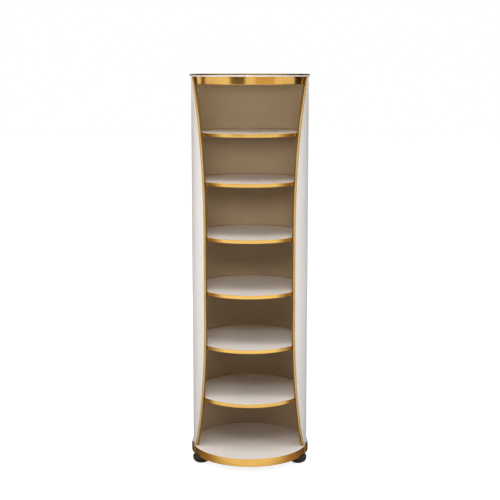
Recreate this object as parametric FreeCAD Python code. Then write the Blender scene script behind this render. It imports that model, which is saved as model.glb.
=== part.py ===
"""Rotating shoe tower: a round open-fronted cabinet with seven tiers that turns on a roller turntable.

The frame of reference: the origin is on the floor on the tower's own axis, +Z is up and the opening faces -Y.
Sizes are in millimetres. An azimuth is measured round the axis from the middle of the opening, in degrees,
positive towards +X.
"""
import FreeCAD, Part
import math
import os

# ---- driving dimensions -------------------------------------------------------------------------------------
# wall
wall_outer_radius = 200.0
skin_thickness = 5.0
lining_thickness = 2.9

# top and bottom plates
rim_overhang = 4.0
board_thickness = 18.0
cap_thickness = 9.0
header_height = 26.0
bottom_band_thickness = 1.4
groove_depth = 8.0

# tiers, counted from the bottom: the floor of the lowest one is the bottom board
shelf_count = 6
shelf_thickness = 12.0
shelf_pitch = 186.0
upper_shelf_pitch = 163.0
top_tier_height = 167.0

# waisted opening: an upright waist between two flares, each a stretch of a quarter ellipse that would end a
# little beyond the floor or the cap; angles are in degrees from the middle of the opening
waist_half_angle = 48.4
lower_flare_angle = 28.6
lower_flare_rise = 457.0
lower_flare_overrun = 13.0
upper_flare_angle = 37.2
upper_flare_rise = 516.0
upper_flare_overrun = 24.0
flare_section_count = 9

# gold edging
edge_sheet = 1.2
edge_flange = 5.0

# shelf brackets
bracket_azimuths = (-100.0, 100.0, 180.0)
bracket_width = 30.0
bracket_leg = 11.0
bracket_reach = 16.0
bracket_sheet = 1.5

# turntable
turntable_inset = 76.0
roller_length = 10.0
roller_diameter = 5.0
roller_count = 8
cage_margin = 4.5
cage_thickness = 1.6
track_margin = 6.0
race_sheet = 1.5
lip_width = 9.0
screw_margin = 7.5
turntable_screw_count = 4

# base
base_thickness = 4.0
base_margin = 8.0
foot_azimuth = 65.0
foot_inset = 19.0
foot_radius = 30.0
foot_edge = 16.0
foot_edge_share = 0.3
foot_height = 20.0

# hexagon screws: radius to the head's corners, head height, shank radius and shank length
turntable_screw = (4.5, 2.4, 2.2, 14.0)
foot_bolt = (7.5, 4.0, 4.0, 15.0)

# clearances
glue_line = 0.1
slip_clearance = 0.3
roller_clearance = 0.05
screw_clearance = 0.1
lip_clearance = 0.5
rim_clearance = 3.0
board_clearance = 1.0
band_clearance = 2.0

# ---- derived places -----------------------------------------------------------------------------------------
skin_inner_radius = wall_outer_radius - skin_thickness
lining_outer_radius = skin_inner_radius - glue_line
lining_inner_radius = lining_outer_radius - lining_thickness
rim_radius = wall_outer_radius + rim_overhang
trim_inner_radius = lining_inner_radius - edge_sheet
inner_flange_clear_radius = trim_inner_radius - slip_clearance

base_top = foot_height + base_thickness
lower_track = base_top + race_sheet
roller_level = lower_track + roller_diameter / 2
upper_track = lower_track + roller_diameter
lip_bottom = upper_track + race_sheet + lip_clearance
board_bottom = lip_bottom + race_sheet + board_clearance
floor_level = board_bottom + board_thickness
band_bottom = base_top + band_clearance

shelf_tops = [floor_level + shelf_pitch * (i + 1) for i in range(shelf_count - 1)]
shelf_tops.append(shelf_tops[-1] + upper_shelf_pitch)
ceiling_level = shelf_tops[-1] + top_tier_height
cap_bottom = ceiling_level + board_thickness
tower_height = cap_bottom + cap_thickness
waist_bottom = floor_level + lower_flare_rise
waist_top = cap_bottom - upper_flare_rise

roller_pitch_radius = rim_radius - turntable_inset
roller_inner_radius = roller_pitch_radius - roller_length / 2
roller_outer_radius = roller_pitch_radius + roller_length / 2
cage_inner_radius = roller_inner_radius - cage_margin
cage_outer_radius = roller_outer_radius + cage_margin
lower_race_inner_radius = cage_inner_radius - track_margin
lip_inner_radius = cage_outer_radius + rim_clearance
lower_race_outer_radius = lip_inner_radius + lip_width
turntable_screw_radius = lower_race_inner_radius - screw_margin
upper_race_inner_radius = turntable_screw_radius - screw_margin
base_outer_radius = lower_race_outer_radius + base_margin
foot_pitch_radius = rim_radius - foot_inset

ORIGIN = FreeCAD.Vector(0, 0, 0)
UP = FreeCAD.Vector(0, 0, 1)
FRONT_ANGLE = -90.0
FULL_TURN = 360.0
WEDGE_REACH = 1.5 * rim_radius


# ---- shapes -------------------------------------------------------------------------------------------------
def polar(radius, azimuth, z=0.0):
    """A point at a radius and azimuth."""
    angle = math.radians(FRONT_ANGLE + azimuth)
    return FreeCAD.Vector(radius * math.cos(angle), radius * math.sin(angle), z)


def turned(shape, azimuth):
    """A copy of a shape turned about the tower's axis."""
    copy = shape.copy()
    copy.rotate(ORIGIN, UP, azimuth)
    return copy


def disc(radius, bottom, top, centre=ORIGIN):
    return Part.makeCylinder(radius, top - bottom, FreeCAD.Vector(centre.x, centre.y, bottom), UP)


def ring(inner, outer, bottom, top):
    return disc(outer, bottom, top).cut(disc(inner, bottom, top))


def sweep(profile, arc=FULL_TURN):
    """Revolve a closed (radius, z) profile through an arc that is centred on the front."""
    points = [FreeCAD.Vector(r, 0, z) for r, z in profile]
    face = Part.Face(Part.makePolygon(points + points[:1]))
    face.rotate(ORIGIN, UP, FRONT_ANGLE - arc / 2)
    return face.revolve(ORIGIN, UP, arc)


def rectangle(inner, outer, bottom, top):
    return [(inner, bottom), (outer, bottom), (outer, top), (inner, top)]


def degrees_along_wall(length):
    return math.degrees(length / wall_outer_radius)


# ---- waisted opening ----------------------------------------------------------------------------------------
def flare(distance, angle, height):
    """Widening and slope of a quarter ellipse that leaves the waist upright, at a distance along it."""
    share = distance / height
    root = math.sqrt(1 - share * share)
    slope = math.radians(angle) * wall_outer_radius / height * share / root
    return angle * (1 - root), slope


def half_angle(z, beyond=0.0):
    """Half angle of the opening at a height, its edge moved outwards square to itself by an offset."""
    widening, slope = 0.0, 0.0
    if z > waist_top:
        widening, slope = flare(z - waist_top, upper_flare_angle, upper_flare_rise + upper_flare_overrun)
    elif z < waist_bottom:
        widening, slope = flare(waist_bottom - z, lower_flare_angle, lower_flare_rise + lower_flare_overrun)
    return waist_half_angle + widening + degrees_along_wall(beyond * math.hypot(1, slope))


def wedge_outline(z, beyond):
    """The opening at one height: a wedge from the axis out past the wall."""
    side = polar(WEDGE_REACH, half_angle(max(z, floor_level), beyond), z)
    corner = FreeCAD.Vector(side.x, -WEDGE_REACH, z)
    mirrored = [FreeCAD.Vector(-p.x, p.y, z) for p in (corner, side)]
    return Part.makePolygon([FreeCAD.Vector(0, 0, z), side, corner] + mirrored + [FreeCAD.Vector(0, 0, z)])


def wedge_loft(low, high, sections, beyond):
    heights = [low + (high - low) * i / (sections - 1) for i in range(sections)]
    return Part.makeLoft([wedge_outline(z, beyond) for z in heights], True, False)


def opening_wedge(beyond):
    """All that lies in front of the wall's cut edges, which run radially, from the base to above the cap."""
    lower = wedge_loft(floor_level, waist_bottom, flare_section_count, beyond)
    waist = wedge_loft(waist_bottom, waist_top, 2, beyond)
    upper = wedge_loft(waist_top, cap_bottom, flare_section_count, beyond)
    foot = wedge_loft(0, floor_level, 2, beyond)
    return foot.fuse([lower, waist, upper])


def side_pieces(shape):
    """The two halves of a pair of pieces, left one first."""
    return sorted(shape.Solids, key=lambda solid: solid.CenterOfMass.x)


# ---- screws -------------------------------------------------------------------------------------------------
def hexagon_screw(size, seat, pointing):
    """A screw on the axis whose head sits at a level; pointing is 1 for up and -1 for down."""
    corner_radius, head_height, shank_radius, length = size
    corners = [polar(corner_radius, FULL_TURN / 6 * i, seat) for i in range(7)]
    head = Part.Face(Part.makePolygon(corners)).extrude(UP * (-pointing * head_height))
    shank = Part.makeCylinder(shank_radius, length, FreeCAD.Vector(0, 0, seat), UP * pointing)
    return head.fuse(shank)


def screw_hole(size, seat, pointing):
    shank_radius, length = size[2:]
    radius, depth = shank_radius + screw_clearance, length + screw_clearance
    return Part.makeCylinder(radius, depth, FreeCAD.Vector(0, 0, seat), UP * pointing)


def placed(shape, places):
    """A copy of a shape at each place."""
    copies = []
    for place in places:
        copy = shape.copy()
        copy.translate(place)
        copies.append(copy)
    return copies


def round_places(radius, count, first_azimuth=0.0):
    return [polar(radius, first_azimuth + FULL_TURN * i / count) for i in range(count)]


# ---- wall and its edging ------------------------------------------------------------------------------------
def wall(wedge_behind_trim):
    low = floor_level - groove_depth
    skin = ring(skin_inner_radius, wall_outer_radius, low, cap_bottom)
    lining = ring(lining_inner_radius, lining_outer_radius, low, cap_bottom)
    return {"outer_shell": skin.cut(wedge_behind_trim), "lining": lining.cut(wedge_behind_trim)}


def edge_trims():
    """Channels of folded sheet that cap the wall's two cut edges from the floor to the cap."""
    sheet = ring(trim_inner_radius, wall_outer_radius + edge_sheet, floor_level, cap_bottom)
    sheet = sheet.common(opening_wedge(edge_flange)).cut(opening_wedge(0))
    inside = ring(lining_inner_radius, wall_outer_radius, floor_level, cap_bottom)
    channel = sheet.cut(inside.cut(opening_wedge(edge_sheet)))
    left, right = side_pieces(channel)
    return {"edge_trim_left": left, "edge_trim_right": right}


# ---- plates -------------------------------------------------------------------------------------------------
def bottom_plates(wedge_behind_trim):
    """The bottom board, with a groove for the wall's foot, and the gold band round it."""
    band_inner_radius = rim_radius - bottom_band_thickness
    board = disc(band_inner_radius - glue_line, board_bottom, floor_level)
    groove_bottom = floor_level - groove_depth
    groove = ring(lining_inner_radius - glue_line, wall_outer_radius + glue_line, groove_bottom, floor_level)
    board = board.cut(groove.cut(wedge_behind_trim))
    return board, ring(band_inner_radius, rim_radius, band_bottom, floor_level)


def fronted_board(top, thickness, band_height):
    """A round board, stepped back along its front for a gold band that runs from trim to trim."""
    half_arc = half_angle(top, edge_flange + edge_sheet)
    back_radius = lining_inner_radius - slip_clearance
    band_radius = inner_flange_clear_radius - edge_sheet
    bottom = top - thickness
    step = sweep(rectangle(band_radius - glue_line, back_radius + slip_clearance, bottom, top), 2 * half_arc)
    band_arc = 2 * (half_arc - degrees_along_wall(slip_clearance))
    band = sweep(rectangle(band_radius, inner_flange_clear_radius, top - band_height, top), band_arc)
    return disc(back_radius, bottom, top).cut(step), band


def brackets(under):
    """Three angle brackets below a board; a flat leg's two edges meet the curved lining."""
    back = math.sqrt((lining_inner_radius - glue_line) ** 2 - (bracket_width / 2) ** 2)
    leg = [(-back, under - bracket_leg), (-back, under), (bracket_reach - back, under)]
    leg += [(bracket_reach - back, under - bracket_sheet), (bracket_sheet - back, under - bracket_sheet)]
    leg += [(bracket_sheet - back, under - bracket_leg)]
    points = [FreeCAD.Vector(-bracket_width / 2, y, z) for y, z in leg]
    bracket = Part.Face(Part.makePolygon(points + points[:1])).extrude(FreeCAD.Vector(bracket_width, 0, 0))
    return [turned(bracket, azimuth) for azimuth in bracket_azimuths]


# ---- turntable ----------------------------------------------------------------------------------------------
def upper_race():
    """The race under the board: a flat track with a thin flange that the lower race's lip holds down."""
    flange_radius = lower_race_outer_radius - race_sheet - 2 * lip_clearance
    shoulder_radius = lip_inner_radius - 2 * lip_clearance
    flange_top = upper_track + race_sheet
    return sweep([
        (upper_race_inner_radius, upper_track), (flange_radius, upper_track), (flange_radius, flange_top),
        (shoulder_radius, flange_top), (shoulder_radius, board_bottom), (upper_race_inner_radius, board_bottom),
    ])


def lower_race():
    """The race on the base: a flat track, an outer rim and a lip folded in over the upper race's flange."""
    rim_inner_radius = lower_race_outer_radius - race_sheet
    lip_top = lip_bottom + race_sheet
    return sweep([
        (lower_race_inner_radius, base_top), (lower_race_outer_radius, base_top),
        (lower_race_outer_radius, lip_top), (lip_inner_radius, lip_top), (lip_inner_radius, lip_bottom),
        (rim_inner_radius, lip_bottom), (rim_inner_radius, lower_track), (lower_race_inner_radius, lower_track),
    ])


def radial_cylinder(radius, start, end, level):
    return Part.makeCylinder(radius, end - start, polar(start, 0, level), polar(1, 0))


def rollers_and_cage():
    """Rollers that lie along the radii between the two tracks, each in a pocket of the cage."""
    roller = radial_cylinder(
        roller_diameter / 2 - roller_clearance, roller_inner_radius, roller_outer_radius, roller_level
    )
    low, high = roller_level - cage_thickness / 2, roller_level + cage_thickness / 2
    pocket_width = roller_diameter + 2 * roller_clearance
    corner = FreeCAD.Vector(-pocket_width / 2, -roller_outer_radius - roller_clearance, low)
    pocket_length = roller_outer_radius - roller_inner_radius + 2 * roller_clearance
    pocket = Part.makeBox(pocket_width, pocket_length, cage_thickness, corner)
    azimuths = [FULL_TURN * i / roller_count for i in range(roller_count)]
    cage = ring(cage_inner_radius, cage_outer_radius, low, high)
    cage = cage.cut([turned(pocket, azimuth) for azimuth in azimuths])
    return [turned(roller, azimuth) for azimuth in azimuths], cage


# ---- base ---------------------------------------------------------------------------------------------------
def foot_places():
    """The four feet, two each side, clear of the middle of the front and the back."""
    azimuths = (-foot_azimuth, foot_azimuth, 180 - foot_azimuth, foot_azimuth - 180)
    return [polar(foot_pitch_radius, azimuth) for azimuth in azimuths]


def base_frame():
    """A flat ring under the turntable with a rounded lug out to each foot."""
    frame = disc(base_outer_radius, foot_height, base_top)
    for place in foot_places():
        corner = FreeCAD.Vector(lower_race_inner_radius, -foot_radius, foot_height)
        length = foot_pitch_radius - lower_race_inner_radius
        bar = Part.makeBox(length, 2 * foot_radius, base_thickness, corner)
        bar.rotate(ORIGIN, UP, math.degrees(math.atan2(place.y, place.x)))
        frame = frame.fuse([bar, disc(foot_radius, foot_height, base_top, place)])
    return frame.removeSplitter().cut(disc(lower_race_inner_radius, foot_height, base_top))


def foot():
    """A round foot on the axis, its lower edge turned in two tapers."""
    shallow = foot_edge_share * foot_edge
    return sweep([
        (0, 0), (foot_radius - foot_edge, 0), (foot_radius - shallow, shallow), (foot_radius, foot_edge),
        (foot_radius, foot_height), (0, foot_height),
    ])


# ---- assembly -----------------------------------------------------------------------------------------------
def tower_nodes():
    wedge_behind_trim = opening_wedge(edge_sheet + glue_line)
    nodes = wall(wedge_behind_trim)
    nodes.update(edge_trims())
    nodes["top_board"], nodes["header_band"] = fronted_board(cap_bottom, board_thickness, header_height)
    nodes["top_cap"] = disc(rim_radius, cap_bottom, tower_height)

    shelf_brackets = brackets(ceiling_level)
    for number, top in enumerate(shelf_tops, 1):
        board, band = fronted_board(top, shelf_thickness, shelf_thickness)
        nodes[f"shelf_{number}"], nodes[f"shelf_band_{number}"] = board, band
        shelf_brackets += brackets(top - shelf_thickness)
    nodes["shelf_brackets"] = Part.makeCompound(shelf_brackets)

    board, nodes["bottom_band"] = bottom_plates(wedge_behind_trim)
    half_step = FULL_TURN / turntable_screw_count / 2
    places = round_places(turntable_screw_radius, turntable_screw_count, half_step)
    screws = placed(hexagon_screw(turntable_screw, upper_track, 1), places)
    holes = placed(screw_hole(turntable_screw, upper_track, 1), places)
    nodes["bottom_board"] = board.cut(holes)
    nodes["turntable_upper_race"] = upper_race().cut(holes)
    nodes["turntable_screws"] = Part.makeCompound(screws)
    return nodes


def base_nodes():
    places = foot_places()
    hole = screw_hole(foot_bolt, base_top, -1)
    return {
        "turntable_lower_race": lower_race(),
        "base_frame": base_frame().cut(placed(hole, places)),
        "feet": Part.makeCompound(placed(foot().cut(hole), places)),
        "foot_bolts": Part.makeCompound(placed(hexagon_screw(foot_bolt, base_top, -1), places)),
    }


def main():
    os.makedirs("parts", exist_ok=True)
    rollers, cage = rollers_and_cage()
    nodes = {"turntable_rollers": Part.makeCompound(rollers), "roller_cage": cage}
    nodes.update(tower_nodes())
    nodes.update(base_nodes())
    for name, shape in nodes.items():
        shape.exportStep(f"parts/{name}.step")


main()
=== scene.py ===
"""Looks of the rotating shoe tower: finishes for its construction, and its small pieces.

The small pieces are the rounded feet, the cap's edging, the beads, the corner pieces and the screw heads.

Everything is in metres in the tower's own frame: the origin is on the floor on the turning axis, +Z is up and
the opening faces -Y.
"""
import bmesh
import bpy
import math
from mathutils import Matrix, Vector


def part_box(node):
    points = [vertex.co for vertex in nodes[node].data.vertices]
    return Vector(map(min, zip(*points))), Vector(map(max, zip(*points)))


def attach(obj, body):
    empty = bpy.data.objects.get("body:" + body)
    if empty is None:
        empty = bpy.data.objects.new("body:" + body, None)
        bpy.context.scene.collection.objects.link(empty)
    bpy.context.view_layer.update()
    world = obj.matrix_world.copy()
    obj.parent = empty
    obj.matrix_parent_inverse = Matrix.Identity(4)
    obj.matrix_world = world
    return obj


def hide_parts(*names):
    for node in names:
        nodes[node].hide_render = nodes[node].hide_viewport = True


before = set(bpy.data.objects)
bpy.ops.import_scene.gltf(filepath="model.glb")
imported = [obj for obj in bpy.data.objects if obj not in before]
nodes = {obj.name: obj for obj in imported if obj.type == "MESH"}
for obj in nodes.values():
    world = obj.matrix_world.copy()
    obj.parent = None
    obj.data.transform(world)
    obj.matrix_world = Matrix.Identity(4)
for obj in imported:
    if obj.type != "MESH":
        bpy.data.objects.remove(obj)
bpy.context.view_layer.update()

SHELF_BANDS = sorted(name for name in nodes if name.startswith("shelf_band_"))
SHELVES = [name.replace("_band", "") for name in SHELF_BANDS]
MM = 0.001
FULL_TURN = 2 * math.pi
TOUCH = 0.001 * MM


# ---- shader helpers ------------------------------------------------------------------------------
def add_node(tree, kind, inputs=None, **settings):
    """Add a shader node with its settings; an input that is given a socket is linked, any other is set."""
    node = tree.nodes.new(kind)
    for name, value in settings.items():
        setattr(node, name, value)
    for name, value in (inputs or {}).items():
        if isinstance(value, bpy.types.NodeSocket):
            tree.links.new(value, node.inputs[name])
        else:
            node.inputs[name].default_value = value
    return node


def add_math(tree, operation, first, second=0.0, clamp=False):
    inputs = {0: first, 1: second}
    return add_node(tree, "ShaderNodeMath", inputs, operation=operation, use_clamp=clamp).outputs[0]


def add_mix(tree, factor, first, second, blend="MIX"):
    inputs = {0: factor, 6: first, 7: second}
    return add_node(tree, "ShaderNodeMix", inputs, data_type="RGBA", blend_type=blend).outputs[2]


def add_vector_math(tree, operation, first, second=(0.0, 0.0, 0.0), output="Vector"):
    inputs = {0: first, 1: second}
    return add_node(tree, "ShaderNodeVectorMath", inputs, operation=operation).outputs[output]


def add_scale(tree, colour, factor):
    """A colour, or another vector, times a factor."""
    return add_node(tree, "ShaderNodeVectorMath", {0: colour, 3: factor}, operation="SCALE").outputs[0]


def add_range(tree, value, low, high, at_low, at_high):
    """A value mapped evenly from the range low to high to the range at_low to at_high, and clamped."""
    inputs = {0: value, 1: low, 2: high, 3: at_low, 4: at_high}
    return add_node(tree, "ShaderNodeMapRange", inputs).outputs[0]


def own_place(tree):
    """The piece's own coordinates in metres."""
    return add_node(tree, "ShaderNodeTexCoord").outputs["Object"]


def add_noise(tree, scale, detail=2.0, roughness=0.5, place=None):
    inputs = {"Vector": place or own_place(tree), "Scale": scale, "Detail": detail, "Roughness": roughness}
    return add_node(tree, "ShaderNodeTexNoise", inputs).outputs["Fac"]


def new_group(name, inputs, outputs):
    """An empty node group with named inputs (name, kind, value) and outputs (name, kind)."""
    tree = bpy.data.node_groups.new(name, "ShaderNodeTree")
    for label, kind, value in inputs:
        tree.interface.new_socket(label, in_out="INPUT", socket_type=kind).default_value = value
    for label, kind in outputs:
        tree.interface.new_socket(label, in_out="OUTPUT", socket_type=kind)
    return tree, tree.nodes.new("NodeGroupInput"), tree.nodes.new("NodeGroupOutput")


SPECKLE_SCALE = 420.0
SPECKLE_SHARE = 0.25
EDGE_PATCH_SCALE = 60.0
BEVEL_SAMPLES = 6
# radii of the trims' inner return faces: painted shade is full inside the first and gone outside the second
FULL_SHADE_RADIUS = 195.5 * MM
SHADE_END_RADIUS = 197.5 * MM


def mottling_group():
    """Slow drift and fine speckle of a colour, and of the gloss with it."""
    tree, given, result = new_group("mottling", [
        ("Color", "NodeSocketColor", (0.8, 0.8, 0.8, 1.0)), ("Size", "NodeSocketFloat", 6.0),
        ("Amount", "NodeSocketFloat", 0.03), ("Roughness", "NodeSocketFloat", 0.4),
        ("Roughness Drift", "NodeSocketFloat", 0.06),
    ], [("Color", "NodeSocketColor"), ("Roughness", "NodeSocketFloat")])
    slow = add_noise(tree, given.outputs["Size"], detail=4.0, roughness=0.55)
    fine = add_noise(tree, SPECKLE_SCALE)
    slow_part = add_math(tree, "MULTIPLY", slow, 1.0 - SPECKLE_SHARE)
    both = add_math(tree, "ADD", slow_part, add_math(tree, "MULTIPLY", fine, SPECKLE_SHARE))
    swing = add_math(tree, "MULTIPLY", add_math(tree, "SUBTRACT", both, 0.5), 2.0)
    bright = add_math(tree, "ADD", add_math(tree, "MULTIPLY", swing, given.outputs["Amount"]), 1.0)
    tree.links.new(add_scale(tree, given.outputs["Color"], bright), result.inputs["Color"])
    drift = add_math(tree, "MULTIPLY", swing, given.outputs["Roughness Drift"])
    tree.links.new(add_math(tree, "ADD", given.outputs["Roughness"], drift), result.inputs["Roughness"])
    return tree


def brushing_group():
    """Fine parallel streaks along the axes with a low scale: their mask and their height."""
    tree, given, result = new_group("brushing", [
        ("Scale", "NodeSocketVector", (3.0, 3.0, 900.0)),
    ], [("Streaks", "NodeSocketFloat"), ("Height", "NodeSocketFloat")])
    stretched = add_vector_math(tree, "MULTIPLY", own_place(tree), given.outputs["Scale"])
    streaks = add_noise(tree, 1.0, detail=3.0, roughness=0.65, place=stretched)
    tree.links.new(streaks, result.inputs["Streaks"])
    tree.links.new(add_math(tree, "MULTIPLY", streaks, streaks), result.inputs["Height"])
    return tree


def painted_return_shade_group():
    """A mask of painted shade on the faces that stand square to the round wall, full inside one radius and
    gone outside a larger one.
    """
    tree, given, result = new_group("return_fold", [
        ("From", "NodeSocketFloat", 0.35), ("To", "NodeSocketFloat", 0.75),
        ("Dull Radius", "NodeSocketFloat", FULL_SHADE_RADIUS),
        ("Polished Radius", "NodeSocketFloat", SHADE_END_RADIUS),
    ], [("Mask", "NodeSocketFloat")])
    level = add_vector_math(tree, "MULTIPLY", own_place(tree), (1.0, 1.0, 0.0))
    outward = add_vector_math(tree, "NORMALIZE", level)
    flat = add_node(tree, "ShaderNodeNewGeometry").outputs["Normal"]
    facing = add_math(tree, "ABSOLUTE", add_vector_math(tree, "DOT_PRODUCT", outward, flat, "Value"))
    square = add_range(tree, facing, given.outputs["From"], given.outputs["To"], 1.0, 0.0)
    radius = add_vector_math(tree, "LENGTH", level, output="Value")
    inside = add_range(tree, radius, given.outputs["Dull Radius"], given.outputs["Polished Radius"], 1.0, 0.0)
    tree.links.new(add_math(tree, "MULTIPLY", square, inside), result.inputs["Mask"])
    return tree


def edge_wear_and_highlight_group():
    """A mask of the sharp edges, broken up by noise: where handling rubs a finish, and where gold carries a
    painted highlight.
    """
    tree, given, result = new_group("edge_rub", [
        ("Width", "NodeSocketFloat", 1.2 * MM), ("Gain", "NodeSocketFloat", 5.0),
    ], [("Mask", "NodeSocketFloat")])
    rounded = add_node(tree, "ShaderNodeBevel", {"Radius": given.outputs["Width"]}, samples=BEVEL_SAMPLES)
    flat = add_node(tree, "ShaderNodeNewGeometry").outputs["Normal"]
    aligned = add_vector_math(tree, "DOT_PRODUCT", rounded.outputs[0], flat, "Value")
    turned = add_math(tree, "SUBTRACT", 1.0, aligned)
    turned = add_math(tree, "MULTIPLY", turned, given.outputs["Gain"], clamp=True)
    patches = add_noise(tree, EDGE_PATCH_SCALE, detail=3.0)
    tree.links.new(add_math(tree, "MULTIPLY", turned, patches), result.inputs["Mask"])
    return tree


MOTTLING = mottling_group()
BRUSHING = brushing_group()
EDGE_WEAR_AND_HIGHLIGHT = edge_wear_and_highlight_group()
RETURN_SHADE = painted_return_shade_group()


def use_group(tree, group, inputs=None):
    return add_node(tree, "ShaderNodeGroup", inputs, node_tree=group).outputs


def new_material(name, **constants):
    """A material with one Principled shader; constants are set on the shader's own sockets."""
    material = bpy.data.materials.new(name)
    material.use_nodes = True
    tree = material.node_tree
    shader = tree.nodes["Principled BSDF"]
    for label, value in constants.items():
        shader.inputs[label.replace("_", " ")].default_value = value
    return material, tree, shader


def add_bump(tree, shader, height, depth, strength=1.0, edge_radius=0.0):
    """Raise the shader's surface by a height; an edge radius lets its edges catch light as rolled ones do."""
    bump = add_node(tree, "ShaderNodeBump", {"Height": height, "Distance": depth, "Strength": strength})
    if edge_radius:
        rolled = add_node(tree, "ShaderNodeBevel", {"Radius": edge_radius}, samples=BEVEL_SAMPLES)
        tree.links.new(rolled.outputs[0], bump.inputs["Normal"])
    tree.links.new(bump.outputs[0], shader.inputs["Normal"])


def link_finish(tree, shader, colour, roughness):
    tree.links.new(colour, shader.inputs["Base Color"])
    tree.links.new(roughness, shader.inputs["Roughness"])


def mottled(tree, colour, size, amount, roughness, drift):
    """A colour and a roughness that drift with patches of a size, given as patches to a metre."""
    return use_group(tree, MOTTLING, {
        "Color": colour + (1.0,), "Size": size, "Amount": amount,
        "Roughness": roughness, "Roughness Drift": drift,
    })


def worn_and_highlit_edges(tree, colour, edge_colour, width, gain):
    """A colour that turns into another on the sharp edges, over a width in metres: real wear on most
    finishes, a painted highlight on gold.
    """
    mask = use_group(tree, EDGE_WEAR_AND_HIGHLIGHT, {"Width": width, "Gain": gain})["Mask"]
    return add_mix(tree, mask, colour, edge_colour + (1.0,))


# ---- materials -----------------------------------------------------------------------------------
SKIN_WHITE, SKIN_WORN = (0.830, 0.786, 0.752), (0.62, 0.57, 0.52)
BEIGE = (0.50, 0.375, 0.235)
BOARD_WHITE, BOARD_WORN = (0.885, 0.835, 0.785), (0.66, 0.56, 0.45)
# gold, its pale cream painted highlight for sharp edges, and the dark brown painted shade of the trims' inner
# returns
GOLD, GOLD_EDGE_HIGHLIGHT, GOLD_PAINTED_SHADE = (0.81, 0.505, 0.135), (0.95, 0.79, 0.52), (0.10, 0.045, 0.014)
GOLD_AMBER = (0.95, 0.70, 0.45)
# a darker copy of the gold for the upright trims: painted shade, standing for the darker reflections on their
# outer faces
SHADED_TRIM_GOLD = (0.74, 0.48, 0.15)
DARK_GOLD = (0.300, 0.200, 0.085)
BLACK_PLASTIC, FLOOR_DUST = (0.011, 0.011, 0.012), (0.23, 0.21, 0.19)
BLACK_POWDER, WHITE_POWDER, POWDER_WORN = (0.020, 0.020, 0.021), (0.78, 0.75, 0.71), (0.30, 0.29, 0.28)
ZINC_GREY, ZINC_STAIN = (0.60, 0.60, 0.585), (0.62, 0.55, 0.40)
MILKY = (0.74, 0.71, 0.63)

# streaks to a metre along X, Y and Z
PRESS_LINES = (260.0, 260.0, 1.2)
BOARD_GRAIN = (6.0, 190.0, 190.0)
ROUND_LINES = (4.0, 4.0, 1600.0)
UPRIGHT_LINES = (900.0, 900.0, 3.0)
EDGING_LINES = (4.0, 4.0, 1500.0)
ZINC_LINES = (30.0, 30.0, 900.0)

ROLLED_EDGE = 2.5 * MM
DUST_TOP = 9.0 * MM
DUST_LOW = 0.30


def satin_white_skin():
    """White foil on the wall: an even orange peel, faint upright press lines, wiped patches in the gloss."""
    material, tree, shader = new_material("satin_white_skin", Specular_IOR_Level=0.35)
    finish = mottled(tree, SKIN_WHITE, size=5.0, amount=0.02, roughness=0.36, drift=0.10)
    worn = worn_and_highlit_edges(tree, finish["Color"], SKIN_WORN, width=1.5 * MM, gain=3.0)
    link_finish(tree, shader, worn, finish["Roughness"])
    lines = use_group(tree, BRUSHING, {"Scale": PRESS_LINES})["Height"]
    height = add_math(tree, "ADD", add_math(tree, "MULTIPLY", lines, 0.5), add_noise(tree, 700.0, detail=1.0))
    add_bump(tree, shader, height, depth=0.04 * MM, strength=0.35)
    return material


def beige_lining():
    """Matt beige sheet with a fine leather-like emboss, painted shade in its creases, and slow patches in
    tone and gloss.
    """
    material, tree, shader = new_material("beige_lining_sheet")
    finish = mottled(tree, BEIGE, size=9.0, amount=0.10, roughness=0.62, drift=0.12)
    cells = add_node(tree, "ShaderNodeTexVoronoi", {
        "Vector": own_place(tree), "Scale": 520.0,
    }, feature="SMOOTH_F1").outputs[0]
    creases = add_math(tree, "SUBTRACT", 1.0, add_math(tree, "MULTIPLY", cells, 0.9))
    # the colour is darker where the emboss sinks: painted shade in the creases
    shade = add_math(tree, "ADD", add_math(tree, "MULTIPLY", creases, 0.12), 0.90)
    link_finish(tree, shader, add_scale(tree, finish["Color"], shade), finish["Roughness"])
    add_bump(tree, shader, creases, depth=0.12 * MM, strength=0.5)
    return material


def white_board():
    """White laminate on board: fine pores, long faint grain, edges a touch warmer where they are handled."""
    material, tree, shader = new_material("white_laminated_board", Coat_Weight=0.15, Coat_Roughness=0.2)
    finish = mottled(tree, BOARD_WHITE, size=7.0, amount=0.025, roughness=0.42, drift=0.12)
    grain = use_group(tree, BRUSHING, {"Scale": BOARD_GRAIN})
    tint = add_math(tree, "ADD", add_math(tree, "MULTIPLY", grain["Streaks"], -0.05), 1.025)
    worn = worn_and_highlit_edges(tree, add_scale(tree, finish["Color"], tint), BOARD_WORN, width=0.6 * MM, gain=1.5)
    link_finish(tree, shader, worn, finish["Roughness"])
    pores = add_math(tree, "ADD", grain["Height"], add_noise(tree, 1300.0, detail=1.0))
    add_bump(tree, shader, pores, depth=0.03 * MM, strength=0.4)
    return material


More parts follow.
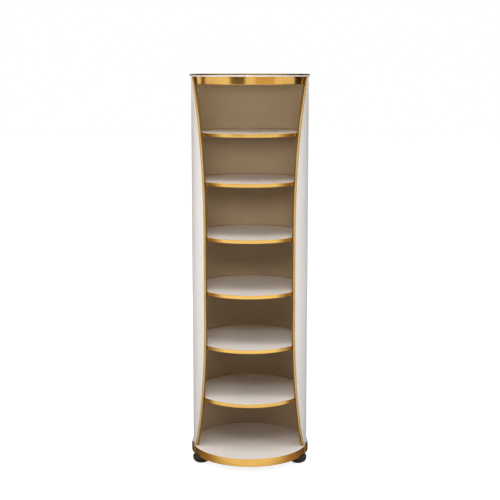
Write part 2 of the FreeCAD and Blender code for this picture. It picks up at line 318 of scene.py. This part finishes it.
def gold_sheet(name, lines, tint, metallic=1.0, highlight_width=1.4 * MM, folded=0.0):
    """Polished, anodised gold sheet: drawn lines, warm and cool drift, and a painted highlight, pale cream,
    along its sharp edges.

    With a return shade amount, the inner part of the return, the face square to the round wall, is painted
    darker and browner than the outer face: painted shade standing for the dim interior it reflects.
    """
    material, tree, shader = new_material(name, Metallic=metallic)
    finish = mottled(tree, tint, size=14.0, amount=0.10, roughness=0.17, drift=0.06)
    drawn = use_group(tree, BRUSHING, {"Scale": lines})
    amber = add_mix(tree, add_noise(tree, 11.0), finish["Color"], GOLD_AMBER + (1.0,), "MULTIPLY")
    face = add_mix(tree, 0.35, finish["Color"], amber)
    # painted shade: the inner return is mixed towards dark brown, standing for the dim interior it reflects
    return_shade_mask = add_math(tree, "MULTIPLY", use_group(tree, RETURN_SHADE)["Mask"], folded)
    face = add_mix(tree, return_shade_mask, face, GOLD_PAINTED_SHADE + (1.0,))
    gloss = add_math(tree, "ADD", finish["Roughness"], add_math(tree, "MULTIPLY", drawn["Streaks"], 0.14))
    gloss = add_math(tree, "ADD", gloss, add_math(tree, "MULTIPLY", return_shade_mask, 0.15))
    gloss = add_math(tree, "SUBTRACT", gloss, 0.06)
    # on the sharp edges the gold turns pale cream: a painted highlight
    link_finish(tree, shader, worn_and_highlit_edges(tree, face, GOLD_EDGE_HIGHLIGHT, width=highlight_width, gain=6.0), gloss)
    add_bump(tree, shader, drawn["Height"], depth=0.012 * MM, strength=0.5, edge_radius=ROLLED_EDGE)
    return material


def bronze_edging():
    """Dark gold edging of the cap and the corners, polished, with fine lines round it."""
    material, tree, shader = new_material("dark_gold_edging", Metallic=1.0)
    finish = mottled(tree, DARK_GOLD, size=12.0, amount=0.18, roughness=0.24, drift=0.08)
    link_finish(tree, shader, finish["Color"], finish["Roughness"])
    lines = use_group(tree, BRUSHING, {"Scale": EDGING_LINES})["Height"]
    add_bump(tree, shader, lines, depth=0.015 * MM, strength=0.5)
    return material


def black_moulding():
    """Glossy black moulded plastic, uneven in its gloss, with a little floor dust low down."""
    material, tree, shader = new_material("black_moulded_plastic", Coat_Weight=0.25, Coat_Roughness=0.08)
    finish = mottled(tree, BLACK_PLASTIC, size=40.0, amount=0.25, roughness=0.22, drift=0.14)
    height = add_node(tree, "ShaderNodeSeparateXYZ", {0: own_place(tree)}).outputs["Z"]
    low = add_range(tree, height, 0.0, DUST_TOP, DUST_LOW, 0.0)
    dust = add_math(tree, "MULTIPLY", low, add_noise(tree, 260.0, detail=4.0, roughness=0.7))
    gloss = add_math(tree, "ADD", finish["Roughness"], add_math(tree, "MULTIPLY", dust, 0.8))
    link_finish(tree, shader, add_mix(tree, dust, finish["Color"], FLOOR_DUST + (1.0,)), gloss)
    add_bump(tree, shader, add_noise(tree, 900.0), depth=0.03 * MM, strength=0.3)
    return material


def powder_coat(name, tint, roughness):
    """Powder coat: a tight orange peel, thin on the edges."""
    material, tree, shader = new_material(name, Coat_Weight=0.1, Coat_Roughness=0.3)
    finish = mottled(tree, tint, size=25.0, amount=0.06, roughness=roughness, drift=0.10)
    worn = worn_and_highlit_edges(tree, finish["Color"], POWDER_WORN, width=0.6 * MM, gain=3.0)
    link_finish(tree, shader, worn, finish["Roughness"])
    add_bump(tree, shader, add_noise(tree, 1100.0), depth=0.06 * MM, strength=0.6)
    return material


def zinc_steel():
    """Bright zinc plate: small spangles, drawn lines round the axis and slightly yellow stains."""
    material, tree, shader = new_material("zinc_plated_steel", Metallic=1.0)
    finish = mottled(tree, ZINC_GREY, size=30.0, amount=0.12, roughness=0.32, drift=0.10)
    spangle = add_node(tree, "ShaderNodeTexVoronoi", {
        "Vector": own_place(tree), "Scale": 240.0,
    }).outputs["Color"]
    grey = add_node(tree, "ShaderNodeRGBToBW", {0: spangle}).outputs[0]
    shade = add_math(tree, "ADD", add_math(tree, "MULTIPLY", grey, 0.16), 0.92)
    plated = add_scale(tree, finish["Color"], shade)
    stain = add_math(tree, "MULTIPLY", add_noise(tree, 18.0, detail=3.0), 0.35)
    link_finish(tree, shader, add_mix(tree, stain, plated, ZINC_STAIN + (1.0,)), finish["Roughness"])
    lines = use_group(tree, BRUSHING, {"Scale": ZINC_LINES})["Height"]
    add_bump(tree, shader, lines, depth=0.02 * MM, strength=0.4)
    return material


def natural_nylon():
    """Milky moulded nylon, a little translucent, with flow marks."""
    material, tree, shader = new_material("natural_nylon", Subsurface_Weight=0.15, Subsurface_Scale=2.0 * MM)
    finish = mottled(tree, MILKY, size=22.0, amount=0.06, roughness=0.48, drift=0.10)
    link_finish(tree, shader, finish["Color"], finish["Roughness"])
    add_bump(tree, shader, add_noise(tree, 320.0, detail=3.0), depth=0.04 * MM, strength=0.4)
    return material


SKIN = satin_white_skin()
LINING = beige_lining()
BOARD = white_board()
GOLD_ROUND = gold_sheet("gold_sheet_drawn_round", ROUND_LINES, GOLD)
# the upright trims: the darker gold as painted shade, painted shade on their inner returns, and a narrower
# painted highlight on their edges
GOLD_UPRIGHT = gold_sheet(
    "gold_sheet_drawn_upright", UPRIGHT_LINES, SHADED_TRIM_GOLD, metallic=0.45, highlight_width=1.0 * MM, folded=0.92
)
BRONZE = bronze_edging()
MOULDING = black_moulding()
BLACK_COAT = powder_coat("black_powder_coat", BLACK_POWDER, 0.45)
WHITE_COAT = powder_coat("white_powder_coat", WHITE_POWDER, 0.42)
ZINC = zinc_steel()
NYLON = natural_nylon()

# construction nodes, their finish and the radius of their rounded edges in millimetres, 0 for none
FINISHES = (
    (["outer_shell"], SKIN, 0.5),
    (["lining"], LINING, 0),
    (["top_cap", "bottom_board"], BOARD, 0.8),
    (["top_board"], BOARD, 0),
    (SHELVES, BOARD, 0.4),
    (SHELF_BANDS, GOLD_ROUND, 0.35),
    (["header_band"], GOLD_ROUND, 0.3),
    (["bottom_band"], GOLD_ROUND, 0.4),
    (["edge_trim_left", "edge_trim_right"], GOLD_UPRIGHT, 0.35),
    (["shelf_brackets"], WHITE_COAT, 0.3),
    (["base_frame"], BLACK_COAT, 0.5),
    (["roller_cage"], NYLON, 0.2),
    (["turntable_upper_race", "turntable_lower_race"], ZINC, 0.3),
    (["turntable_rollers", "turntable_screws", "foot_bolts"], ZINC, 0.2),
)
WELD_DISTANCE = 0.01 * MM
# degrees between two faces: below the first they count as one, above the second their edge is rounded
FLAT_ANGLE = 0.5
ROUNDED_ANGLE = 40


def dress_construction():
    for names, material, edge_radius in FINISHES:
        for name in names:
            piece = nodes[name]
            piece.data.materials.clear()
            piece.data.materials.append(material)
            if edge_radius:
                round_edges(piece, edge_radius * MM)


def round_edges(piece, radius):
    """Softly rounded edges that stay live: the mesh itself isn't changed."""
    piece.modifiers.new("weld", "WELD").merge_threshold = WELD_DISTANCE
    flat = piece.modifiers.new("flat_faces", "DECIMATE")
    flat.decimate_type = "DISSOLVE"
    flat.angle_limit = math.radians(FLAT_ANGLE)
    bevel = piece.modifiers.new("edge_radius", "BEVEL")
    bevel.width = radius
    bevel.segments = 2
    bevel.limit_method = "ANGLE"
    bevel.angle_limit = math.radians(ROUNDED_ANGLE)
    bevel.harden_normals = False
    piece.modifiers.new("even_shading", "WEIGHTED_NORMAL").keep_sharp = False


# ---- modelling helpers ---------------------------------------------------------------------------
LEVEL_NORMAL = 0.999


def deselect_all():
    bpy.ops.object.select_all(action="DESELECT")


def start_piece(name):
    """Name the primitive that was just added and enter edit mode with nothing selected."""
    piece = bpy.context.object
    piece.name = name
    piece.data.name = name
    bpy.ops.object.mode_set(mode="EDIT")
    bpy.ops.mesh.select_all(action="DESELECT")
    return piece


def select_only(piece, kind, chosen):
    """In edit mode, select just the faces (kind FACE) or the edges (kind EDGE) that pass a test."""
    bpy.ops.mesh.select_mode(type=kind)
    bpy.ops.mesh.select_all(action="DESELECT")
    mesh = bmesh.from_edit_mesh(piece.data)
    for part in mesh.faces if kind == "FACE" else mesh.edges:
        part.select_set(chosen(part))
    bmesh.update_edit_mesh(piece.data)


def select_edges(piece, chosen):
    """In edit mode, select just the edges whose two ends pass a test."""
    select_only(piece, "EDGE", lambda edge: chosen(*(vertex.co for vertex in edge.verts)))


def select_ring(piece, level):
    """In edit mode, select just the edges that lie at a level."""
    select_edges(piece, lambda a, b: abs(a.z - level) < TOUCH and abs(b.z - level) < TOUCH)


def select_flat(piece, level):
    """In edit mode, select just the horizontal faces at a level."""
    select_only(piece, "FACE", lambda face: (
        abs(face.normal.z) > LEVEL_NORMAL and abs(face.calc_center_median().z - level) < TOUCH
    ))


def clean_mesh():
    """In edit mode, merge the points that touch and turn every face outward."""
    bpy.ops.mesh.select_mode(type="VERT")
    bpy.ops.mesh.select_all(action="SELECT")
    bpy.ops.mesh.remove_doubles(threshold=TOUCH)
    bpy.ops.mesh.normals_make_consistent(inside=False)


def end_piece(piece, smooth_angle):
    """Leave edit mode with a clean mesh, placed in the frame and smooth below an angle in degrees."""
    clean_mesh()
    bpy.ops.object.mode_set(mode="OBJECT")
    deselect_all()
    piece.select_set(True)
    bpy.context.view_layer.objects.active = piece
    bpy.ops.object.transform_apply(location=True, rotation=True, scale=True)
    bpy.ops.object.shade_smooth_by_angle(angle=math.radians(smooth_angle))
    deselect_all()


def fit_out(piece, body, material):
    piece.data.materials.clear()
    piece.data.materials.append(material)
    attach(piece, body)


def copy_of(piece, name, matrix):
    """A copy with its own mesh, moved by a matrix that goes into the mesh."""
    copy = piece.copy()
    copy.data = piece.data.copy()
    copy.name = name
    copy.data.name = name
    copy.data.transform(matrix)
    bpy.context.scene.collection.objects.link(copy)
    return copy


def polar(radius, azimuth, z=0.0):
    """A point at a radius and azimuth, azimuth in degrees from the middle of the opening towards +X."""
    angle = math.radians(azimuth)
    return Vector((radius * math.sin(angle), -radius * math.cos(angle), z))


def azimuth_of(point):
    return math.degrees(math.atan2(point.x, -point.y))


def points_of(name):
    """Every point of a construction node's mesh."""
    return [vertex.co for vertex in nodes[name].data.vertices]


def turn_to_azimuth(piece, azimuth):
    """In edit mode, turn a swept piece about the axis until its middle lies at an azimuth."""
    bpy.ops.object.mode_set(mode="OBJECT")
    middle = sum((vertex.co for vertex in piece.data.vertices), Vector())
    wanted = polar(1, azimuth)
    turn = math.atan2(wanted.y, wanted.x) - math.atan2(middle.y, middle.x)
    piece.data.transform(Matrix.Rotation(turn, 4, "Z"))
    bpy.ops.object.mode_set(mode="EDIT")


# ---- feet ----------------------------------------------------------------------------------------
FOOT_SIDES = 96
FOOT_ROUNDING = 18.0 * MM
FOOT_TOP_ROUNDING = 1.0 * MM
FOOT_SOLE_RING = 3.0 * MM
FOOT_SOLE_SLOPE = 0.6 * MM
FOOT_SOLE_RECESS = 1.2 * MM


def make_feet():
    """Button feet: one is turned from a cylinder, with a wide rounding and a recessed sole, then copied."""
    low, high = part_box("feet")
    half = (high.z - low.z) / 2
    radius = foot_radius()
    deselect_all()
    bpy.ops.mesh.primitive_cylinder_add(
        vertices=FOOT_SIDES, radius=radius, depth=2 * half, location=(0, 0, half)
    )
    model = start_piece("foot")
    select_ring(model, -half)
    bpy.ops.mesh.bevel(offset=FOOT_ROUNDING, segments=12, profile=0.5)
    select_ring(model, half)
    bpy.ops.mesh.bevel(offset=FOOT_TOP_ROUNDING, segments=3, profile=0.5)
    select_flat(model, -half)
    bpy.ops.mesh.inset(thickness=FOOT_SOLE_RING)
    bpy.ops.mesh.inset(thickness=FOOT_SOLE_SLOPE)
    bpy.ops.transform.translate(value=(0, 0, FOOT_SOLE_RECESS))
    end_piece(model, smooth_angle=30)
    for end, y in (("front", radius - high.y), ("rear", high.y - radius)):
        for side, x in (("right", high.x - radius), ("left", radius - high.x)):
            piece = copy_of(model, f"foot_{end}_{side}", Matrix.Translation((x, y, 0)))
            fit_out(piece, "base", MOULDING)
            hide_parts("feet")
    bpy.data.objects.remove(model)


def foot_radius():
    """Half the width of one foot, from the construction's feet at their widest level."""
    across = [point.x for point in points_of("feet") if point.x > 0 and point.y > 0]
    return (max(across) - min(across)) / 2


# ---- cap edging ----------------------------------------------------------------------------------
EDGING_SIDES = 180
EDGING_HEIGHT = 5.0 * MM
EDGING_PROUD = 0.6 * MM
EDGING_WIDTH = 4.0 * MM
EDGING_ROUNDING = 1.4 * MM


def make_cap_edging():
    """A dark gold angle wrapped round the cap's upper edge, its outer corner rounded."""
    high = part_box("top_cap")[1]
    radius = high.x + EDGING_PROUD
    bottom = high.z - EDGING_HEIGHT
    top = high.z + EDGING_PROUD
    half = (top - bottom) / 2
    deselect_all()
    bpy.ops.mesh.primitive_cylinder_add(
        vertices=EDGING_SIDES, radius=radius, depth=top - bottom, end_fill_type="NOTHING",
        location=(0, 0, (top + bottom) / 2),
    )
    edging = start_piece("cap_edging")
    select_ring(edging, half)
    share = (radius - EDGING_WIDTH) / radius
    bpy.ops.mesh.extrude_region_move()
    bpy.ops.transform.resize(value=(share, share, 1), center_override=(0, 0, top))
    outer = radius - WELD_DISTANCE
    select_edges(edging, lambda a, b: (
        min(a.z, b.z) > half - TOUCH and min(a.xy.length, b.xy.length) > outer
    ))
    bpy.ops.mesh.bevel(offset=EDGING_ROUNDING, segments=4, profile=0.5)
    end_piece(edging, smooth_angle=50)
    wall = edging.modifiers.new("sheet", "SOLIDIFY")
    wall.thickness = EDGING_PROUD
    wall.offset = -1
    bpy.context.view_layer.objects.active = edging
    bpy.ops.object.modifier_apply(modifier="sheet")
    fit_out(edging, "tower", BRONZE)


# ---- beads behind the shelves --------------------------------------------------------------------
BEAD_RADIUS = 0.9 * MM
BEAD_GAP = 0.15 * MM
BEAD_SIDES = 10
BEAD_STEPS = 72
BEAD_END_GAP = 0.5
FLANGE_DEPTH = 1.5 * MM
NEAREST_POINTS = 8


def make_shelf_beads():
    """A slim gold bead closes the joint between each shelf's top and the lining."""
    inner_radius = min(point.xy.length for point in points_of("lining"))
    radius = inner_radius - BEAD_RADIUS - BEAD_GAP
    for name in SHELVES:
        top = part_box(name)[1].z
        make_bead(f"{name}_bead", radius, top + BEAD_RADIUS + BEAD_GAP, trim_azimuth(top) + BEAD_END_GAP)


def make_bead(name, radius, level, from_azimuth):
    """A round wire laid along the wall from one edge trim round the back to the other."""
    deselect_all()
    bpy.ops.mesh.primitive_circle_add(
        vertices=BEAD_SIDES, radius=BEAD_RADIUS, fill_type="NGON", location=(0, 0, 0)
    )
    bead = start_piece(name)
    bpy.ops.mesh.select_all(action="SELECT")
    bpy.ops.transform.rotate(value=math.pi / 2, orient_axis="X", center_override=(0, 0, 0))
    bpy.ops.transform.translate(value=(radius, 0, level))
    sweep = FULL_TURN - 2 * math.radians(from_azimuth)
    bpy.ops.mesh.spin(steps=BEAD_STEPS, angle=sweep, center=(0, 0, 0), axis=(0, 0, 1))
    turn_to_azimuth(bead, 180)
    end_piece(bead, smooth_angle=60)
    fit_out(bead, "tower", GOLD_ROUND)


def trim_azimuth(level):
    """Azimuth in degrees where the right edge trim's inner flange ends at a level."""
    points = points_of("edge_trim_right")
    inner = min(point.xy.length for point in points)
    flange = [point for point in points if point.xy.length < inner + FLANGE_DEPTH]
    nearest = sorted((abs(point.z - level), azimuth_of(point)) for point in flange)[:NEAREST_POINTS]
    return max(azimuth for _, azimuth in nearest)


# ---- corner pieces over the bottom band ----------------------------------------------------------
CORNER_GAP = 0.15 * MM
CORNER_LIFT = 1.0 * MM
CORNER_STEP = 2.0
CORNER_ROUNDING = 0.35
CORNER_SHARPNESS = 40.0
SHOULDER = 2.6 * MM
TIP_SHEET = 0.9 * MM
GUARD_SHEET = 1.9 * MM
GUARD_ARC = 10.0
GUARD_GAP = 0.2
TRIM_FOOT_DEPTH = 0.1 * MM


def make_corner_pieces():
    """At each foot of the opening, a gold tip carries the trim over the band and a guard stands beside it."""
    trim_low, trim_high = trim_foot_azimuths()
    tip_middle = (trim_low + trim_high) / 2
    guard_middle = trim_high + GUARD_ARC / 2 + GUARD_GAP
    for side, sign in (("left", -1), ("right", 1)):
        tip = make_corner_piece(f"trim_tip_{side}", TIP_SHEET, sign * tip_middle, trim_high - trim_low)
        fit_out(tip, "tower", GOLD_UPRIGHT)
        guard = make_corner_piece(f"corner_guard_{side}", GUARD_SHEET, sign * guard_middle, GUARD_ARC)
        fit_out(guard, "tower", BRONZE)


def make_corner_piece(name, sheet, azimuth, arc):
    """An angle bent round the axis: its leg hangs over the band and its shoulder lies on the band's top."""
    band_low, band_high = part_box("bottom_band")
    wall_radius = max(point.xy.length for point in points_of("edge_trim_right"))
    leg_radius = band_high.x + CORNER_GAP
    shoulder_level = band_high.z + CORNER_GAP
    low = band_low.z + CORNER_LIFT
    deselect_all()
    bpy.ops.mesh.primitive_plane_add(size=1, location=(0, 0, 0))
    piece = start_piece(name)
    bpy.ops.mesh.select_all(action="SELECT")
    bpy.ops.transform.resize(value=(sheet, shoulder_level - low, 1))
    bpy.ops.transform.rotate(value=math.pi / 2, orient_axis="X", center_override=(0, 0, 0))
    bpy.ops.transform.translate(value=(leg_radius + sheet / 2, 0, (shoulder_level + low) / 2))
    select_edges(piece, lambda a, b: min(a.z, b.z) > shoulder_level - TOUCH)
    bpy.ops.mesh.extrude_region_move(TRANSFORM_OT_translate={"value": (0, 0, SHOULDER)})
    inside = leg_radius + TOUCH
    above = shoulder_level + TOUCH
    select_edges(piece, lambda a, b: max(a.x, b.x) < inside and (a.z + b.z) / 2 > above)
    inward = wall_radius + CORNER_GAP - leg_radius
    bpy.ops.mesh.extrude_region_move(TRANSFORM_OT_translate={"value": (inward, 0, 0)})
    bpy.ops.mesh.select_all(action="SELECT")
    steps = max(2, round(arc / CORNER_STEP))
    bpy.ops.mesh.spin(steps=steps, angle=math.radians(arc), center=(0, 0, 0), axis=(0, 0, 1))
    turn_to_azimuth(piece, azimuth)
    clean_mesh()
    bpy.ops.mesh.select_mode(type="EDGE")
    bpy.ops.mesh.select_all(action="DESELECT")
    bpy.ops.mesh.edges_select_sharp(sharpness=math.radians(CORNER_SHARPNESS))
    bpy.ops.mesh.bevel(offset=sheet * CORNER_ROUNDING, segments=3, profile=0.5)
    end_piece(piece, smooth_angle=40)
    return piece


def trim_foot_azimuths():
    """The azimuths in degrees between which the right edge trim stands on the bottom board."""
    points = points_of("edge_trim_right")
    foot = min(point.z for point in points)
    azimuths = [azimuth_of(point) for point in points if point.z < foot + TRIM_FOOT_DEPTH]
    return min(azimuths), max(azimuths)


# ---- bracket screws ------------------------------------------------------------------------------
SCREW_SIDES = 16
SCREW_HEAD_RADIUS = 2.3 * MM
SCREW_HEAD_HEIGHT = 1.5 * MM
SCREW_HEAD_ROUNDING = 0.6 * MM
SCREW_RIM = 0.5 * MM
SCREW_RECESS_SLOPE = 0.15 * MM
SCREW_RECESS_DEPTH = 0.7 * MM
SCREW_SPACING = 18.0 * MM
SCREW_SINK = 0.05 * MM
BRACKET_AZIMUTHS = (-100.0, 100.0, 180.0)
BRACKET_SHEET = 1.5 * MM
LEG_SCREW_DROP = 6.6 * MM
TAB_SCREW_INSET = 10.0 * MM


def make_bracket_screws():
    """Four pan-head screws on every shelf bracket: two into the wall and two up into the board."""
    bracket_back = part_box("shelf_brackets")[1].y
    leg_radius = bracket_back - BRACKET_SHEET + SCREW_SINK
    tab_radius = bracket_back - TAB_SCREW_INSET
    model = make_screw_head()
    for board in SHELVES + ["top_board"]:
        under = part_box(board)[0].z
        tab_level = under - BRACKET_SHEET + SCREW_SINK
        heads = []
        for azimuth in BRACKET_AZIMUTHS:
            for aside in (-SCREW_SPACING / 2, SCREW_SPACING / 2):
                into_wall = Matrix.Translation((aside, -leg_radius, under - LEG_SCREW_DROP))
                into_wall = into_wall @ Matrix.Rotation(-math.pi / 2, 4, "X")
                into_board = Matrix.Translation((aside, -tab_radius, tab_level))
                into_board = into_board @ Matrix.Rotation(math.pi, 4, "X")
                for place in (into_wall, into_board):
                    turned = Matrix.Rotation(math.radians(azimuth), 4, "Z") @ place
                    heads.append(copy_of(model, f"{board}_screw_{len(heads) + 1}", turned))
        deselect_all()
        for head in heads:
            head.select_set(True)
        bpy.context.view_layer.objects.active = heads[0]
        bpy.ops.object.join()
        screws = bpy.context.object
        screws.name = screws.data.name = f"{board}_bracket_screws"
        fit_out(screws, "tower", ZINC)
    bpy.data.objects.remove(model)


def make_screw_head():
    """A pan head that stands on the origin and points up, with a round driver recess."""
    half = SCREW_HEAD_HEIGHT / 2
    deselect_all()
    bpy.ops.mesh.primitive_cylinder_add(
        vertices=SCREW_SIDES, radius=SCREW_HEAD_RADIUS, depth=SCREW_HEAD_HEIGHT, location=(0, 0, half)
    )
    head = start_piece("screw_head")
    select_ring(head, half)
    bpy.ops.mesh.bevel(offset=SCREW_HEAD_ROUNDING, segments=2, profile=0.5)
    select_flat(head, half)
    bpy.ops.mesh.inset(thickness=SCREW_RIM)
    bpy.ops.mesh.inset(thickness=SCREW_RECESS_SLOPE)
    bpy.ops.transform.translate(value=(0, 0, -SCREW_RECESS_DEPTH))
    end_piece(head, smooth_angle=35)
    return head


# ---- stage, light and camera ---------------------------------------------------------------------
CAMERA_DISTANCE = 3.75
CAMERA_HEIGHT = 1.335
CAMERA_ASIDE = 0.044
CAMERA_PITCH = 7.79
CAMERA_YAW = 0.67
CAMERA_LENS = 78.78
CAMERA_SENSOR = 36.0
CAMERA_SHIFT = -0.05


def make_camera():
    data = bpy.data.cameras.new("camera")
    data.lens = CAMERA_LENS
    data.sensor_width = CAMERA_SENSOR
    data.shift_y = CAMERA_SHIFT
    camera = bpy.data.objects.new("camera", data)
    camera.location = (CAMERA_ASIDE, -CAMERA_DISTANCE, CAMERA_HEIGHT)
    camera.rotation_euler = (math.radians(90 - CAMERA_PITCH), 0, math.radians(CAMERA_YAW))
    bpy.context.scene.collection.objects.link(camera)
    bpy.context.scene.camera = camera


def bare_material(name):
    """A material with only an output, whose surface socket waits for a shader."""
    material = bpy.data.materials.new(name)
    material.use_nodes = True
    tree = material.node_tree
    tree.nodes.clear()
    return material, tree, add_node(tree, "ShaderNodeOutputMaterial").inputs["Surface"]


def seen_directly(tree):
    """1 for rays from the camera, from mirrors and through glass; 0 for light that bounces on."""
    path = add_node(tree, "ShaderNodeLightPath").outputs
    seen = add_math(tree, "MAXIMUM", path["Is Camera Ray"], path["Is Transmission Ray"])
    return add_math(tree, "MAXIMUM", seen, path["Is Glossy Ray"])


AMBIENT = 0.18
FLOOR_SIZE = 40.0
FLOOR_PALE = (0.5, 0.5, 0.5, 1.0)
FLOOR_BOUNCE = (0.35, 0.35, 0.35, 1.0)
FLOOR_GLOW_NEAR, FLOOR_GLOW_FAR = 0.84, 1.0
FLOOR_NEAR, FLOOR_FAR = 0.35, 1.6


def make_world():
    """A white room to the eye and to mirrors, which gives only a little light of its own."""
    world = bpy.data.worlds.new("studio")
    bpy.context.scene.world = world
    world.use_nodes = True
    tree = world.node_tree
    background = tree.nodes["Background"]
    background.inputs["Color"].default_value = (1.0, 1.0, 1.0, 1.0)
    seen = seen_directly(tree)
    strength = add_math(tree, "ADD", add_math(tree, "MULTIPLY", seen, 1.0 - AMBIENT), AMBIENT)
    tree.links.new(strength, background.inputs["Strength"])


def make_floor():
    """A pale floor that looks white and keeps the tower's soft shadow, but bounces little light back."""
    deselect_all()
    bpy.ops.mesh.primitive_plane_add(size=FLOOR_SIZE, location=(0, 0, 0))
    floor = bpy.context.object
    floor.name = "floor"
    material, tree, surface = bare_material("pale_floor")
    dim = add_node(tree, "ShaderNodeBsdfDiffuse", {"Color": FLOOR_BOUNCE}).outputs[0]
    pale = add_node(tree, "ShaderNodeBsdfDiffuse", {"Color": FLOOR_PALE}).outputs[0]
    away = add_vector_math(tree, "LENGTH", own_place(tree), output="Value")
    strength = add_range(tree, away, FLOOR_NEAR, FLOOR_FAR, FLOOR_GLOW_NEAR, FLOOR_GLOW_FAR)
    glow = add_node(tree, "ShaderNodeEmission", {"Strength": strength}).outputs[0]
    white = add_node(tree, "ShaderNodeAddShader", {0: pale, 1: glow}).outputs[0]
    mixed = add_node(tree, "ShaderNodeMixShader", {0: seen_directly(tree), 1: dim, 2: white}).outputs[0]
    tree.links.new(mixed, surface)
    floor.data.materials.append(material)


# per lamp: its radius, azimuth and height, the height of the point it faces on the axis, its width and height
# in metres, and its watts
LAMPS = {
    "key_softbox": ((1.4, -4, 1.32), 1.2, (0.8, 0.25), 8.3),
    "right_softbox": ((1.5, 66, 0.80), 0.75, (0.5, 1.0), 8.2),
    "left_softbox": ((1.5, -66, 0.80), 0.75, (0.5, 1.0), 8.2),
    "low_right_softbox": ((1.4, 50, 0.25), 0.3, (0.4, 0.4), 2.0),
    "low_left_softbox": ((1.4, -50, 0.25), 0.3, (0.4, 0.4), 2.0),
    "overhead_softbox": ((1.6, -8, 3.6), 0.9, (2.6, 1.6), 50.0),
    "back_softbox": ((2.6, 180, 1.5), 0.8, (1.2, 1.8), 45.0),
}


def make_lights():
    """A key lamp in front, two at the sides, two weak ones low down, one overhead and one behind.

    Neither the camera nor any mirror sees them.
    """
    for name, (place, level, size, power) in LAMPS.items():
        data = bpy.data.lights.new(name, "AREA")
        data.shape = "RECTANGLE"
        data.size, data.size_y = size
        data.energy = power
        lamp = bpy.data.objects.new(name, data)
        lamp.location = polar(*place)
        lamp.rotation_euler = (Vector((0, 0, level)) - polar(*place)).to_track_quat("-Z", "Y").to_euler()
        lamp.visible_glossy = False
        lamp.visible_camera = False
        bpy.context.scene.collection.objects.link(lamp)


SCREEN_SIDES = 120
SCREEN_RADIUS = 1.7
SCREEN_TOP = 1.25
SCREEN_AZIMUTH = 55.0
SCREEN_DARK_AZIMUTH = 92.0
SCREEN_AMBER = (0.42, 0.30, 0.17)
SCREEN_AMBER_STOP = 0.45
SCREEN_SHADE = (0.13, 0.10, 0.07)
# a card on the floor, white in front and dark beside and behind the tower: a painted shadow that mirrors see
FLOOR_SHADOW_LIFT = 0.5 * MM
FLOOR_SHADOW_FADE = (-0.29, -0.02)
FLAG_DISTANCE = 2.5
FLAG_LOW, FLAG_HIGH = 1.12, 1.90
# per flag: the azimuth of its middle and its width, both in degrees seen from the axis, and its shade
FLAGS = {
    "dark_flag_left": (-107.0, 15.0, (0.22, 0.10, 0.02)),
    "dark_flag_middle": (-23.5, 30.0, (0.05, 0.03, 0.012)),
    "amber_flag_right": (31.0, 40.0, (0.72, 0.56, 0.36)),
    "dark_flag_right": (118.0, 35.0, (0.015, 0.01, 0.006)),
}


def dark_card(name, shade, fade=None):
    """Turn the object just made into a card that only mirrors see: it is unlit and throws no shadow.

    With a fade (from, to), the card goes from white to its shade between these two places along Y.
    """
    material, tree, surface = bare_material(name)
    glow = add_node(tree, "ShaderNodeEmission", {"Color": shade + (1.0,)})
    tree.links.new(glow.outputs[0], surface)
    if fade:
        along = add_node(tree, "ShaderNodeSeparateXYZ", {0: own_place(tree)}).outputs["Y"]
        ramp = add_node(tree, "ShaderNodeValToRGB", {0: add_range(tree, along, *fade, 0.0, 1.0)})
        for stop, colour in zip(ramp.color_ramp.elements, ((1.0, 1.0, 1.0), shade)):
            stop.color = colour + (1.0,)
        amber = ramp.color_ramp.elements.new(SCREEN_AMBER_STOP)
        amber.color = SCREEN_AMBER + (1.0,)
        tree.links.new(ramp.outputs[0], glow.inputs["Color"])
    card = bpy.context.object
    card.name = name
    card.data.materials.append(material)
    card.visible_camera = False
    card.visible_diffuse = False
    card.visible_shadow = False
    card.visible_transmission = False
    return card


def make_flags():
    """Dark and amber cards level with the header, with a dark screen below them and, on the floor, a painted
    shadow of the tower that only mirrors see.
    """
    for name, (azimuth, width, shade) in FLAGS.items():
        deselect_all()
        bpy.ops.mesh.primitive_plane_add(
            size=2, location=polar(FLAG_DISTANCE, azimuth, (FLAG_LOW + FLAG_HIGH) / 2)
        )
        flag = dark_card(name, shade)
        flag.rotation_euler = (math.pi / 2, 0, math.radians(azimuth))
        half = FLAG_DISTANCE * math.tan(math.radians(width / 2))
        flag.scale = (half, (FLAG_HIGH - FLAG_LOW) / 2, 1)
    front = polar(SCREEN_RADIUS, SCREEN_AZIMUTH).y
    dark = polar(SCREEN_RADIUS, SCREEN_DARK_AZIMUTH).y
    deselect_all()
    bpy.ops.mesh.primitive_cylinder_add(
        vertices=SCREEN_SIDES, radius=SCREEN_RADIUS, depth=SCREEN_TOP, end_fill_type="NOTHING",
        location=(0, 0, SCREEN_TOP / 2),
    )
    screen = start_piece("dark_screen")
    select_only(screen, "FACE", lambda face: face.calc_center_median().y < front)
    bpy.ops.mesh.delete(type="FACE")
    bpy.ops.object.mode_set(mode="OBJECT")
    dark_card("dark_screen", SCREEN_SHADE, (front, dark))
    # the tower's shadow on the floor as mirrors see it, painted: white in front, dark beside and behind
    deselect_all()
    bpy.ops.mesh.primitive_circle_add(
        vertices=SCREEN_SIDES, radius=SCREEN_RADIUS, fill_type="NGON", location=(0, 0, FLOOR_SHADOW_LIFT)
    )
    dark_card("dark_floor_card", SCREEN_SHADE, FLOOR_SHADOW_FADE)


bpy.context.scene.view_settings.view_transform = "Standard"
make_camera()
make_world()
make_floor()
make_lights()
make_flags()
dress_construction()
make_feet()
make_cap_edging()
make_shelf_beads()
make_corner_pieces()
make_bracket_screws()
